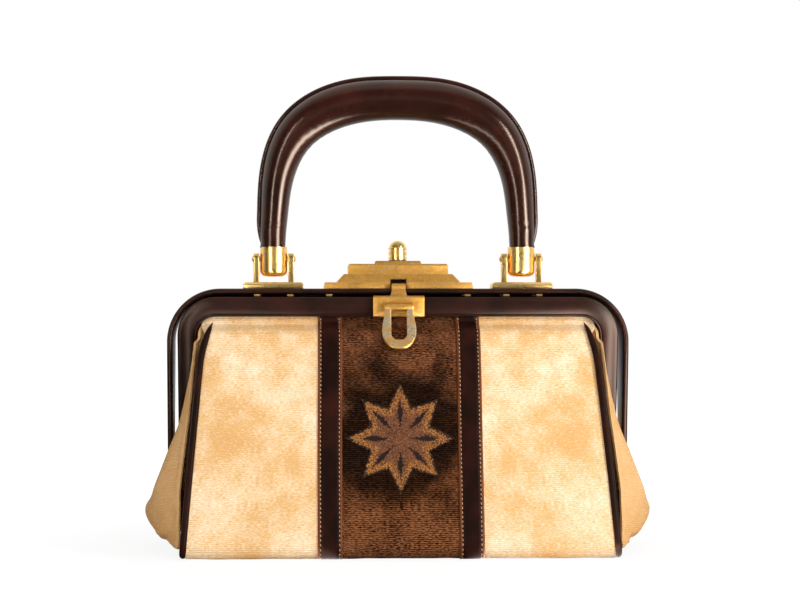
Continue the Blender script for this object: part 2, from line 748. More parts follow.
def gilt_brass(name, bright, dull, spots, low_rough, high_rough, spotted, metal=1.0):
    """Gilt brass: bright where it is polished, browner and greyer in blotches where it has aged.

    metal is below 1 where the plating is worn dull, so that it looks pale from every side.
    """
    material, tree, output = new_material(name)
    place = add_node(tree, "ShaderNodeTexCoord")
    blotches = add_node(
        tree, "ShaderNodeTexNoise", None,
        {
            "Vector": place.outputs["Object"], "Scale": 1 / TARNISH_SIZE,
            "Detail": 6.0, "Roughness": 0.68, "Distortion": 0.4,
        },
    )
    specks = add_node(
        tree, "ShaderNodeTexNoise", None,
        {"Vector": place.outputs["Object"], "Scale": 1 / SPECK_SIZE, "Detail": 4.0, "Roughness": 0.7},
    )
    base = add_node(
        tree, "ShaderNodeValToRGB", {"stops": ((0.36, dull), (0.62, bright))}, {"Fac": blotches.outputs["Fac"]}
    )
    speck_ramp = add_node(
        tree, "ShaderNodeValToRGB", {"stops": ((0.5, 0.0), (0.66, 1.0))}, {"Fac": specks.outputs["Fac"]}
    )
    speck_amount = add_node(
        tree, "ShaderNodeMath", {"operation": "MULTIPLY"}, {0: speck_ramp.outputs["Color"], 1: spotted}
    )
    spotted_base = add_node(
        tree, "ShaderNodeMix", {"data_type": "RGBA"},
        {"Factor": speck_amount.outputs["Value"], 6: base.outputs["Color"], 7: opaque(spots)},
    )
    rough = add_node(
        tree, "ShaderNodeMapRange", None,
        {
            "Value": blotches.outputs["Fac"], "From Min": 0.35, "From Max": 0.65,
            "To Min": high_rough, "To Max": low_rough,
        },
    )
    bump = add_node(
        tree, "ShaderNodeBump", None, {"Strength": 0.08, "Distance": 0.0002, "Height": specks.outputs["Fac"]}
    )
    shader = add_node(
        tree, "ShaderNodeBsdfPrincipled", None,
        {
            "Base Color": spotted_base.outputs[2], "Metallic": metal, "Roughness": rough.outputs["Result"],
            "Normal": bump.outputs["Normal"],
        },
    )
    tree.links.new(shader.outputs[0], output.inputs[0])
    return material


def plain_weave(name, colour, pitch, darker, roughness=0.85):
    """Plain twill or pressed board: fine diagonal threads or fibres with a little shade between them.

    The threads are drawn coarser than they are where finer ones wouldn't show.
    """
    material, tree, output = new_material(name)
    place = add_node(tree, "ShaderNodeTexCoord")
    threads = add_node(
        tree, "ShaderNodeTexWave", {"bands_direction": "DIAGONAL"},
        {"Vector": place.outputs["Object"], "Scale": math.pi / 10 / pitch, "Distortion": 1.5, "Detail": 2.0},
    )
    clouds = add_node(
        tree, "ShaderNodeTexNoise", None, {"Vector": place.outputs["Object"], "Scale": 60.0, "Detail": 4.0}
    )
    both = add_node(
        tree, "ShaderNodeMath", {"operation": "MULTIPLY"}, {0: threads.outputs["Fac"], 1: clouds.outputs["Fac"]}
    )
    shade = add_node(
        tree, "ShaderNodeMix", {"data_type": "RGBA"},
        {"Factor": both.outputs["Value"], 6: opaque(colour), 7: opaque([c * darker for c in colour])},
    )
    bump = add_node(
        tree, "ShaderNodeBump", None, {"Strength": 0.4, "Distance": 0.0002, "Height": threads.outputs["Fac"]}
    )
    shader = add_node(
        tree, "ShaderNodeBsdfPrincipled", None,
        {
            "Base Color": shade.outputs[2], "Roughness": roughness, "Specular IOR Level": 0.25,
            "Normal": bump.outputs["Normal"],
        },
    )
    tree.links.new(shader.outputs[0], output.inputs[0])
    return material


def waxed_thread():
    """Waxed linen thread: tan, with a soft shine and twisted strands."""
    colour = bpy.context.scene.handbag_colours.thread
    return plain_weave("Waxed_linen_thread", colour, pitch=0.0005, darker=0.6, roughness=0.55)


MATERIALS = {}


def make_materials():
    """Every finish of the bag, by a short name."""
    c = bpy.context.scene.handbag_colours
    MATERIALS.update(
        # Pale pile with broad, soft blotches: whitened where it lies flat, ochre where it stands up
        cream=cut_velvet(
            "Cut_velvet_cream", c.cream, c.cream_light, c.cream_deep, c.cream_deep,
            patch_size=0.050, whitened=0.9, row_shade=0.42, glint=0.5, sheen=0.05,
        ),
        # The side walls are hardly crushed, so they look plainer and a little darker
        side=cut_velvet(
            "Cut_velvet_cream_side", c.side, c.cream, c.cream_deep, c.cream_deep,
            patch_size=0.040, whitened=0.5, row_shade=0.25, glint=0.3, sheen=0.1,
        ),
        # Warm brown with dark gaps between its rows, nearly black round the star
        brown=cut_velvet(
            "Cut_velvet_brown", c.brown, c.brown_light, c.brown_deep, c.brown_dark,
            patch_size=0.022, whitened=0.4, row_shade=0.6, glint=0.55, sheen=0.02, shaded=brushed_centre,
        ),
        star=woven_star(),
        # The frame's leather shows soft streaks of light
        leather=polished_leather(
            "Calf_leather_polished", c.leather, c.leather_red, roughness=0.34, warmth=0.1, gloss=0.3
        ),
        # The straps are nearly matt
        strap=polished_leather(
            "Calf_leather_waxed", c.leather, c.leather_red, roughness=0.42, warmth=0.1, gloss=0.08
        ),
        # The grip is polished by the hand: sharp highlights, and red where it is rubbed
        grip=polished_leather("Calf_leather_oxblood", c.leather, c.leather_red, roughness=0.2, warmth=0.25),
        # Leather is lighter and duller where it is turned over an edge
        edge=polished_leather(
            "Calf_leather_turned_edge", c.leather_edge, c.leather_red, roughness=0.5, warmth=0.1, gloss=0.2
        ),
        thread=waxed_thread(),
        # Bright yellow metal of the handle's fittings
        brass=gilt_brass(
            "Gilt_brass_polished", c.brass, c.brass, c.brass_aged, low_rough=0.26, high_rough=0.34, spotted=0.25
        ),
        # Browner and duller metal of the lock and the hasp, with pale specks where the gilding has gone
        aged=gilt_brass(
            "Gilt_brass_aged", c.brass_aged, [x * 0.84 for x in c.brass_aged], c.silver,
            low_rough=0.36, high_rough=0.5, spotted=0.35, metal=0.88,
        ),
        # Pale metal on the edges, worn through the gilding
        rubbed=gilt_brass(
            "Nickel_rubbed_edges", c.silver, c.brass_aged, c.silver,
            low_rough=0.25, high_rough=0.35, spotted=0.3, metal=0.7,
        ),
        # Grey metal with a few rusty specks
        steel=gilt_brass("Steel_plain", c.steel, c.steel, c.tarnish, low_rough=0.3, high_rough=0.4, spotted=0.15),
        # Nearly black metal that shines only softly
        black=gilt_brass(
            "Steel_blackened", [x * 0.12 for x in c.steel], [x * 0.08 for x in c.steel], c.tarnish,
            low_rough=0.4, high_rough=0.5, spotted=0.1,
        ),
        lining=plain_weave("Cotton_twill_lining", c.lining, pitch=0.0008, darker=0.6),
        board=plain_weave("Fibreboard_pressed", c.board, pitch=0.002, darker=0.7),
    )


def softbox(name, place, size, power, seen_in_gloss=True):
    """An area lamp that looks at the bag."""
    way = Vector(LAMP_AIM) - Vector(place)
    bpy.ops.object.light_add(type="AREA", location=place, rotation=way.to_track_quat("-Z", "Y").to_euler())
    lamp = bpy.context.object
    lamp.name = name
    lamp.data.shape = "RECTANGLE"
    lamp.data.size, lamp.data.size_y = size
    lamp.data.energy = power
    lamp.visible_glossy = seen_in_gloss
    lamp.visible_camera = False
    return lamp


class HANDBAG_OT_stage(bpy.types.Operator):
    """Adds the camera, the pale floor, the soft lamps and the light background"""

    bl_idname = "handbag.stage"
    bl_label = "Stage"

    def execute(self, context):
        deselect_all()
        x = math.sin(CAMERA_TURN) * CAMERA_DISTANCE + CAMERA_SHIFT
        y = -math.cos(CAMERA_TURN) * CAMERA_DISTANCE
        bpy.ops.object.camera_add(location=(x, y, CAMERA_HEIGHT), rotation=(math.pi / 2, 0, CAMERA_TURN))
        context.scene.camera = context.object
        context.object.data.angle = CAMERA_ANGLE
        # Two narrow lamps show as streaks in the leather and brass, and two wide ones only light the bag
        softbox("Lamp_right", (0.85, -0.80, 0.42), size=(0.16, 0.8), power=11)
        softbox("Lamp_left", (-0.62, -1.10, 0.36), size=(0.05, 0.8), power=4)
        softbox("Lamp_front", (0.25, -1.3, 0.9), size=(1.0, 0.8), power=8.2, seen_in_gloss=False)
        softbox("Lamp_over", (0.1, 0.2, 1.2), size=(1.2, 0.8), power=4, seen_in_gloss=False)
        self.floor(context)
        self.world(context)
        context.scene.view_settings.view_transform = "Standard"
        return {"FINISHED"}

    def floor(self, context):
        """Matt white floor that keeps a faint shadow. Shiny pieces see it dim in front of the bag."""
        deselect_all()
        bpy.ops.mesh.primitive_grid_add(x_subdivisions=12, y_subdivisions=12, size=14, location=(0, 0, -0.0002))
        floor = context.object
        floor.name = "Floor"
        material, tree, output = new_material("Matt_white_floor")
        rays = add_node(tree, "ShaderNodeLightPath")
        place = add_node(tree, "ShaderNodeTexCoord")
        parts = add_node(tree, "ShaderNodeSeparateXYZ", None, {0: place.outputs["Object"]})
        behind = add_node(
            tree, "ShaderNodeMapRange", None,
            {"Value": parts.outputs["Y"], "From Min": -0.1, "From Max": 0.4, "To Min": 0.04, "To Max": 0.9},
        )
        away = add_node(tree, "ShaderNodeVectorMath", {"operation": "LENGTH"}, {0: place.outputs["Object"]})
        glow = add_node(
            tree, "ShaderNodeMapRange", None,
            {"Value": away.outputs["Value"], "From Min": 0.16, "From Max": 0.5, "To Min": 1.04, "To Max": 1.25},
        )
        matt = add_node(tree, "ShaderNodeBsdfDiffuse", None, {"Color": (0.8, 0.8, 0.8, 1)})
        white = add_node(
            tree, "ShaderNodeEmission", None, {"Color": (1, 1, 1, 1), "Strength": glow.outputs["Result"]}
        )
        # The lamps' glow on the table, seen only by shiny pieces: to the right and, narrower, to the left
        angle = add_node(
            tree, "ShaderNodeMath", {"operation": "ARCTAN2"}, {0: parts.outputs["X"], 1: parts.outputs["Y"]}
        )
        total = behind.outputs["Result"]
        for middle, half_width, strength in ((math.radians(133), 0.22, 20.0), (math.radians(-148), 0.08, 8.0)):
            off = add_node(tree, "ShaderNodeMath", {"operation": "SUBTRACT"}, {0: angle.outputs["Value"], 1: middle})
            away_from = add_node(tree, "ShaderNodeMath", {"operation": "ABSOLUTE"}, {0: off.outputs["Value"]})
            glint = add_node(
                tree, "ShaderNodeMapRange", {"interpolation_type": "SMOOTHSTEP"},
                {
                    "Value": away_from.outputs["Value"], "From Min": half_width * 1.6, "From Max": half_width * 0.4,
                    "To Min": 0.0, "To Max": strength,
                },
            )
            total = add_node(
                tree, "ShaderNodeMath", {"operation": "ADD"}, {0: total, 1: glint.outputs["Result"]}
            ).outputs["Value"]
        mirrored = add_node(tree, "ShaderNodeEmission", None, {"Color": (1, 1, 1, 1), "Strength": total})
        amount = add_node(
            tree, "ShaderNodeMath", {"operation": "MULTIPLY"}, {0: rays.outputs["Is Camera Ray"], 1: 0.87}
        )
        seen = add_node(
            tree, "ShaderNodeMixShader", None,
            {"Fac": amount.outputs["Value"], 1: matt.outputs[0], 2: white.outputs[0]},
        )
        mix = add_node(
            tree, "ShaderNodeMixShader", None,
            {"Fac": rays.outputs["Is Glossy Ray"], 1: seen.outputs[0], 2: mirrored.outputs[0]},
        )
        tree.links.new(mix.outputs[0], output.inputs[0])
        floor.data.materials.append(material)

    def world(self, context):
        """White for the camera. Shiny pieces see white behind and above the bag, and a dim room in front."""
        world = bpy.data.worlds.new("Studio")
        context.scene.world = world
        world.use_nodes = True
        tree = world.node_tree
        tree.nodes.clear()
        output = add_node(tree, "ShaderNodeOutputWorld")
        rays = add_node(tree, "ShaderNodeLightPath")
        way = add_node(tree, "ShaderNodeTexCoord")
        parts = add_node(tree, "ShaderNodeSeparateXYZ", None, {0: way.outputs["Generated"]})
        behind = add_node(
            tree, "ShaderNodeMapRange", None,
            {"Value": parts.outputs["Y"], "From Min": -0.45, "From Max": 0.15, "To Min": 0.0, "To Max": 1.0},
        )
        above = add_node(
            tree, "ShaderNodeMapRange", None,
            {"Value": parts.outputs["Z"], "From Min": 0.75, "From Max": 0.95, "To Min": 0.0, "To Max": 0.8},
        )
        # A paler wall straight in front, which the flat faces of the lock show
        ahead = add_node(
            tree, "ShaderNodeMapRange", None,
            {"Value": parts.outputs["Y"], "From Min": -0.93, "From Max": -0.99, "To Min": 0.03, "To Max": 0.32},
        )
        brighter = add_node(
            tree, "ShaderNodeMath", {"operation": "MAXIMUM"}, {0: behind.outputs["Result"], 1: above.outputs["Result"]}
        )
        strength = add_node(
            tree, "ShaderNodeMath", {"operation": "MAXIMUM"}, {0: brighter.outputs["Value"], 1: ahead.outputs["Result"]}
        )
        gloss_world = add_node(
            tree, "ShaderNodeBackground", None, {"Color": (1, 1, 1, 1), "Strength": strength.outputs["Value"]}
        )
        white = add_node(tree, "ShaderNodeBackground", None, {"Color": (1, 1, 1, 1), "Strength": 1.0})
        room = add_node(tree, "ShaderNodeBackground", None, {"Color": (1, 0.97, 0.93, 1), "Strength": 0.22})
        straight = add_node(
            tree, "ShaderNodeMath", {"operation": "ADD", "use_clamp": True},
            {0: rays.outputs["Is Camera Ray"], 1: rays.outputs["Is Transmission Ray"]},
        )
        mirrored = add_node(
            tree, "ShaderNodeMixShader", None,
            {"Fac": rays.outputs["Is Glossy Ray"], 1: room.outputs[0], 2: gloss_world.outputs[0]},
        )
        seen = add_node(
            tree, "ShaderNodeMixShader", None,
            {"Fac": straight.outputs["Value"], 1: mirrored.outputs[0], 2: white.outputs[0]},
        )
        tree.links.new(seen.outputs[0], output.inputs[0])


class HANDBAG_OT_velvet(bpy.types.Operator):
    """Lays the cream and brown velvet down the front, under the base and up the rear"""

    bl_idname = "handbag.velvet"
    bl_label = "Velvet panels"

    def execute(self, context):
        crush = context.scene.handbag_sizes.crush_depth / MM
        for name, side in (("left", -1), ("right", 1)):
            panel = self.panel(f"velvet_cream_{name}", crush, lambda z: (side * (SEAM_X - 0.05), side * self.corner(z)))
            finish_piece(panel, MATERIALS["cream"], [f"cream_panel_{name}"])
        panel = self.panel("velvet_brown", crush * 0.8, lambda z: (-SEAM_X, SEAM_X))
        finish_piece(panel, MATERIALS["brown"], ["brown_panel_centre"])
        return {"FINISHED"}

    def corner(self, z):
        """How far out a cream panel reaches: under the piping, and past its tip behind the jaw."""
        under_piping = body_half_width(z) - 0.75 - seam_curl(z)
        past_tip = min(max((z - 119) / 7, 0), 1)
        tucked = JAW_HALF_WIDTH - JAW_WIDTH - 3.0
        return under_piping + (tucked - under_piping) * past_tip + 0.45 * uneven(z, 0, 1.3, 4.4)

    def panel(self, name, crush, edges):
        """One width of velvet between two edges that are given for each height."""
        low, high = edges(60)
        width = abs(high - low)

        def place(part_across, part_along):
            distance = part_along * BODY.length
            (y, z), (out_y, out_z) = BODY.at(distance)
            low, high = edges(z)
            x = low + (high - low) * part_across
            seamed = min(part_across, 1 - part_across) * width
            free = min(seamed / 12, 1)
            lift = crush * free * (uneven(x, distance, 26, 3.1) + 0.6 * uneven(x, distance, 9, 7.7))
            lift -= 0.25 * math.exp(-seamed / 3)
            # The crease where the cloth leaves the jaw
            for crease in (PANEL_CREASE, BODY.length - PANEL_CREASE):
                lift -= 0.35 * free * math.exp(-((distance - crease + uneven(x, 0, 20) * 1.5) / 1.3) ** 2)
            return x, y + out_y * lift, z + out_z * lift

        panel = lay_grid(name, 44, 380, place, (width, BODY.length))
        face_towards(panel, (0, -1, 0))
        apply_modifier(panel, "SOLIDIFY", thickness=PANEL_BACKING * MM, offset=-1, use_even_offset=True)
        return smooth(panel, 60)


class HANDBAG_OT_star(bpy.types.Operator):
    """Adds the flat-woven star on the front of the brown velvet"""

    bl_idname = "handbag.star"
    bl_label = "Woven star"

    def execute(self, context):
        deselect_all()
        middle = (0, -0.09, STAR_Z * MM)
        bpy.ops.mesh.primitive_circle_add(
            vertices=16, radius=STAR_RADIUS * MM, fill_type="TRIFAN", location=middle, rotation=(math.pi / 2, 0, 0)
        )
        star = context.object
        star.name = "woven_star"
        bpy.ops.object.transform_apply(location=True, rotation=True, scale=True)
        centre = Vector(middle)
        for vertex in star.data.vertices:
            off = vertex.co - centre
            step = round(math.atan2(off.z, off.x) / (math.pi / 8))
            if off.length > 0.001 and step % 2:
                vertex.co = centre + off * STAR_VALLEY_RADIUS / STAR_RADIUS
        bpy.ops.object.mode_set(mode="EDIT")
        bpy.ops.mesh.select_all(action="SELECT")
        bpy.ops.mesh.subdivide(number_cuts=23)
        bpy.ops.object.mode_set(mode="OBJECT")
        # Weave steps: near the outline each row of threads ends a little further in or out
        for vertex in star.data.vertices:
            off = vertex.co - centre
            angle = abs((math.atan2(off.x, off.z) + math.pi / 8) % (math.pi / 4) - math.pi / 8)
            inward = STAR_EDGE_ALONG * math.cos(angle) + STAR_EDGE_OFF * math.sin(angle)
            free = min(max(1 - (STAR_REACH - off.length * inward) / WEAVE_STEP_ZONE, 0), 1)
            step = uneven(round(off.z / WEAVE_STEP) * 3.7, round(off.x / WEAVE_STEP) * 1.3, 1.7, 5.0)
            vertex.co += off.normalized() * WEAVE_STEP_REACH * free * step
        apply_modifier(
            star, "SHRINKWRAP", target=bpy.data.objects["velvet_brown"], wrap_method="PROJECT",
            use_project_x=False, use_project_y=True, use_project_z=False,
            use_negative_direction=True, use_positive_direction=True, offset=0.0,
        )
        face_towards(star, (0, -1, 0))
        apply_modifier(star, "SOLIDIFY", thickness=STAR_THICKNESS, offset=0.2)
        smooth(star, 60)
        finish_piece(star, MATERIALS["star"], ["star_motif"])
        return {"FINISHED"}


def stitches(name, places, length, width, height):
    """A row of stitches. Each place is a point, the way along and the way out, in metres."""
    deselect_all()
    bpy.ops.mesh.primitive_uv_sphere_add(segments=8, ring_count=5, radius=0.5)
    one = bpy.context.object
    bpy.ops.transform.resize(value=(length, width, height))
    bpy.ops.object.transform_apply(location=False, rotation=False, scale=True)
    base = [vertex.co.copy() for vertex in one.data.vertices]
    faces = [tuple(face.vertices) for face in one.data.polygons]
    bpy.data.objects.remove(one)
    points, polygons = [], []
    for point, along, out in places:
        along = Vector(along).normalized()
        out = Vector(out).normalized()
        turn = Matrix((along, out.cross(along), out)).transposed()
        first = len(points)
        points += [Vector(point) + turn @ co for co in base]
        polygons += [tuple(first + i for i in face) for face in faces]
    mesh = bpy.data.meshes.new(name)
    mesh.from_pydata(points, [], polygons)
    row = bpy.data.objects.new(name, mesh)
    bpy.context.scene.collection.objects.link(row)
    return smooth(row, 80)


class HANDBAG_OT_straps(bpy.types.Operator):
    """Lays the two stitched leather straps over the seams"""

    bl_idname = "handbag.straps"
    bl_label = "Straps"

    def execute(self, context):
        sizes = context.scene.handbag_sizes
        rise = sizes.strap_rise / MM
        inset = sizes.stitch_inset / MM
        half = STRAP_HALF_WIDTH
        # Height of the strap's face across it: a rolled edge, the stitched groove, and a flat middle
        across = np.array([-half, -half + 0.15, -half + 0.7, -half + inset - 0.25, -half + inset + 0.1,
                           -half + inset + 0.8, -half + 3.0])
        heights = np.array([-0.1, rise * 0.55, rise * 0.92, rise * 0.8, rise * 0.62, rise * 0.88, rise])
        across = np.r_[across, -across[::-1]]
        heights = np.r_[heights, heights[::-1]]
        columns = 26
        spread = np.sin(np.linspace(-1, 1, columns + 1) * math.pi / 2) * half
        for name, side in (("left", -1), ("right", 1)):
            middle = side * SEAM_X

            def place(part_across, part_along):
                distance = part_along * BODY.length
                (y, z), (out_y, out_z) = BODY.at(distance)
                x = spread[min(round(part_across * columns), columns)]
                lift = np.interp(x, across, heights) + 0.12 * uneven(distance, side * 9, 18)
                x += middle + 0.25 * uneven(distance, side * 5, 60)
                # Under the base the strap is pressed flat
                return x, y + out_y * lift, max(z + out_z * lift, 0)

            strap = lay_grid(f"strap_leather_{name}", columns, 280, place, (2 * half, BODY.length))
            face_towards(strap, (0, -1, 0))
            rolled = MATERIALS["strap"], MATERIALS["edge"]
            apply_modifier(strap, "SOLIDIFY", thickness=STRAP_THICKNESS, offset=-1)
            smooth(strap, 60)
            finish_piece(strap, rolled, [f"strap_{name}"])
            # The turned edge has its own shade of leather
            for face in strap.data.polygons:
                if abs(abs(face.center.x / MM - middle) - half) < inset - 0.35:
                    face.material_index = 1
            places = []
            for k in range(int(BODY.length / (sizes.stitch_pitch / MM))):
                distance = (k + 0.5) * sizes.stitch_pitch / MM
                (y, z), (out_y, out_z) = BODY.at(distance)
                ahead = BODY.point(min(distance + 1, BODY.length)) - BODY.point(distance)
                lift = rise * 0.66 + 0.12 * uneven(distance, side * 9, 18)
                for edge in (-1, 1):
                    x = middle + edge * (half - inset - 0.1) + 0.25 * uneven(distance, side * 5, 60)
                    places.append((
                        Vector((x, y + out_y * lift, max(z + out_z * lift, 0.3))) * MM,
                        (STITCH_LEAN, ahead[0], ahead[1]),
                        (0, out_y, out_z),
                    ))
            row = stitches(f"strap_stitches_{name}", places, sizes.stitch_length, STITCH_WIDTH, STITCH_HEIGHT)
            finish_piece(row, MATERIALS["thread"], [])
        return {"FINISHED"}


def tube(name, outline_at, length, radius_at, rows, columns=14):
    """A round cord. outline_at gives a point, and two directions across it, in millimetres."""

    def place(part_across, part_along):
        distance = part_along * length
        point, first, second = outline_at(distance)
        angle = 2 * math.pi * part_across
        return point + radius_at(distance) * (first * math.cos(angle) + second * math.sin(angle))

    cord = lay_grid(name, columns, rows, place, (2 * math.pi * 2, length))
    return smooth(close_shape(cord), 60)


class HANDBAG_OT_piping(bpy.types.Operator):
    """Adds the leather piping in the corners between the panels and the gussets"""

    bl_idname = "handbag.piping"
    bl_label = "Piping"

    def execute(self, context):
        front = self.front()
        rear = [(-y, z) for y, z in reversed(front)]
        radii = [5, 430, BODY_CORNER_RADIUS - 2]
        line = Outline(rounded_line(front + rear, radii + radii[::-1]))
        for name, side in (("left", -1), ("right", 1)):

            def at(distance, side=side):
                (y, z), (out_y, out_z) = line.at(distance)
                x = side * (body_half_width(z) + 0.9 - seam_curl(z))
                return Vector((x, y, z)), Vector((0, out_y, out_z)), Vector((side, 0, 0))

            def radius(distance, side=side):
                end = min(distance, line.length - distance)
                taper = min(1, 0.12 + 0.88 * math.sin(min(end / 16, 1) * math.pi / 2))
                return PIPING_RADIUS * taper * (1 + 0.03 * uneven(distance, side * 3, 6))

            piece = tube(f"piping_leather_{name}", at, line.length, radius, 300)
            finish_piece(piece, MATERIALS["strap"], [f"piping_{name}"])
        return {"FINISHED"}

    def front(self):
        """Corners of the piping's side view at the front."""
        chord_y, chord_z = SHOULDER[0] + BODY_HALF_DEPTH, SHOULDER[1]
        length = math.hypot(chord_y, chord_z)
        rise = 0.3
        out = np.array([-chord_z, chord_y]) / length
        shoulder = np.array(SHOULDER) + rise * out
        middle = np.array([(SHOULDER[0] - BODY_HALF_DEPTH) / 2, SHOULDER[1] / 2]) + (FRONT_FULLNESS + rise) * out
        return [
            (shoulder[0] + 6.2, 128.2), (shoulder[0] - 0.5, 124.0), tuple(middle),
            (-BODY_HALF_DEPTH - rise + 1.4, PIPING_RADIUS + 0.3),
        ]


def seam_curl(z):
    """How far the corner seam turns in towards the middle near its top."""
    return 0.0075 * max(z - 104, 0) ** 2


def front_face_y(z):
    """Y of the front velvet at a height, with the tuck behind the jaw."""
    if z > SHOULDER[1]:
        tucked = -(z - HINGE_Z) * math.tan(JAW_TILT) + 0.3
        return min(SHOULDER[0] + (z - SHOULDER[1]) * 2.1, tucked)
    part = z / SHOULDER[1]
    chord = -BODY_HALF_DEPTH + (SHOULDER[0] + BODY_HALF_DEPTH) * part
    return chord - FRONT_FULLNESS * 0.62 * 4 * part * max(1 - part, 0)


def settle_cloth(obj, pinned, growth, cap, steps=24):
    """Lets a sheet that is a little too large for its edges fall into its own soft folds.

    growth is how much too large it is, and cap is the furthest, in metres, that any of it may move.
    """
    rest = np.array([vertex.co[:] for vertex in obj.data.vertices])
    group = obj.vertex_groups.new(name="pinned")
    group.add(pinned, 1.0, "REPLACE")
    make_active(obj)
    modifier = obj.modifiers.new("Cloth", "CLOTH")
    # Velvet on a thin backing: it folds softly and hardly stretches
    cloth = modifier.settings
    cloth.quality = 6
    cloth.mass = 0.25
    cloth.tension_stiffness = cloth.compression_stiffness = 12
    cloth.shear_stiffness = 6
    cloth.bending_stiffness = 0.8
    cloth.shrink_min = -growth
    cloth.vertex_group_mass = group.name
    scene = bpy.context.scene
    for step in range(1, steps + 1):
        scene.frame_set(step)
    bpy.ops.object.modifier_apply(modifier=modifier.name)
    scene.frame_set(1)
    moved = np.array([vertex.co[:] for vertex in obj.data.vertices]) - rest
    distance = np.linalg.norm(moved, axis=1, keepdims=True) + 1e-9
    settled = rest + moved / distance * cap * np.tanh(distance / cap)
    obj.data.vertices.foreach_set("co", settled.astype(np.float32).ravel())
    obj.data.update()
    obj.vertex_groups.clear()


class HANDBAG_OT_gussets(bpy.types.Operator):
    """Hangs the velvet side walls, full low down and folded between the jaws"""

    bl_idname = "handbag.gussets"
    bl_label = "Gussets"

    def execute(self, context):
        columns, rows = 90, 78
        for name, side in (("left", -1), ("right", 1)):
            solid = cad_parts[f"gusset_{name}"].data
            tree = BVHTree.FromPolygons(
                [vertex.co for vertex in solid.vertices], [tuple(face.vertices) for face in solid.polygons]
            )

            def place(part_across, part_along):
                z = GUSSET_LOW + (GUSSET_HIGH - GUSSET_LOW) * part_along
                half = -front_face_y(z) - PIPING_RADIUS - 1.3 - max(9 - z, 0)
                # The solid's wall is read across from outside, and no higher than this
                seen_z = min(z, 120.4)
                seen_half = -front_face_y(seen_z) - PIPING_RADIUS - 1.3 - max(9 - z, 0)
                seen_y = seen_half * (2 * part_across - 1)
                far = Vector((side * 0.3, seen_y * MM, seen_z * MM))
                hit = tree.ray_cast(far, Vector((-side, 0, 0)))[0]
                x = abs(hit.x) / MM if hit else body_half_width(z)
                # The top edge is tucked in between the jaws and the lining
                if z > 119:
                    x = min(x, 112.3 - max(z - 123, 0) * 0.35)
                return side * x, half * (2 * part_across - 1), z

            wall = lay_grid(f"velvet_gusset_{name}", columns, rows, place, (125, 135))
            face_towards(wall, (side, 0, 0))
            edge = [vertex.index for vertex in wall.data.vertices if self.on_edge(vertex.index, columns, rows)]
            settle_cloth(wall, edge, growth=0.05, cap=0.0022)
            apply_modifier(wall, "SUBSURF", levels=1, render_levels=1)
            apply_modifier(wall, "SOLIDIFY", thickness=GUSSET_THICKNESS, offset=-1)
            smooth(wall, 70)
            finish_piece(wall, MATERIALS["side"], [f"gusset_{name}"])
        return {"FINISHED"}

    def on_edge(self, index, columns, rows):
        row, column = divmod(index, columns + 1)
        return row < 2 or row > rows - 2 or column < 2 or column > columns - 2


class HANDBAG_OT_lining(bpy.types.Operator):
    """Hangs the open-topped lining inside the velvet, and finishes the board under it"""

    bl_idname = "handbag.lining"
    bl_label = "Lining and board"

    def execute(self, context):
        inset = 2.9
        lowest = 5.1

        def inner(distance):
            (y, z), (out_y, out_z) = BODY.at(distance)
            return y - out_y * inset, max(z - out_z * inset, lowest)

        def wall(part_across, part_along):
            distance = 1.5 + (BODY.length - 3.0) * part_along
            y, z = inner(distance)
            x = LINING_HALF_WIDTH * (2 * part_across - 1)
            ripple = 0.5 * uneven(x, distance, 22, 1.3)
            inward = -1 if y > 0 else 1
            return x, y + inward * (0.5 + ripple * 0.8), z + 0.2

        body = lay_grid("lining_twill_wall", 60, 150, wall, (2 * LINING_HALF_WIDTH, BODY.length))
        face_towards(body, (0, 1, 0))
        apply_modifier(body, "SOLIDIFY", thickness=LINING_THICKNESS, offset=-1)
        finish_piece(smooth(body, 60), MATERIALS["lining"], ["lining"])
        half_line = [inner(BODY.length * k / 400) for k in range(4, 200)]
        depths = sorted((z, -y) for y, z in half_line)
        for name, side in (("left", -1), ("right", 1)):

            def end_wall(part_across, part_along):
                z = lowest + (LINING_TOP - lowest) * part_along
                half = np.interp(z, [d[0] for d in depths], [d[1] for d in depths]) - 0.6
                y = half * (2 * part_across - 1)
                return side * (LINING_HALF_WIDTH - 0.3 + 0.4 * uneven(y, z, 18, 5.5)), y, z

            end = lay_grid(f"lining_twill_end_{name}", 40, 50, end_wall, (110, 128))
            face_towards(end, (-side, 0, 0))
            apply_modifier(end, "SOLIDIFY", thickness=LINING_THICKNESS, offset=-1)
            finish_piece(smooth(end, 60), MATERIALS["lining"], [])
        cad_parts["base_board"].data.materials.clear()
        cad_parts["base_board"].data.materials.append(MATERIALS["board"])
        return {"FINISHED"}


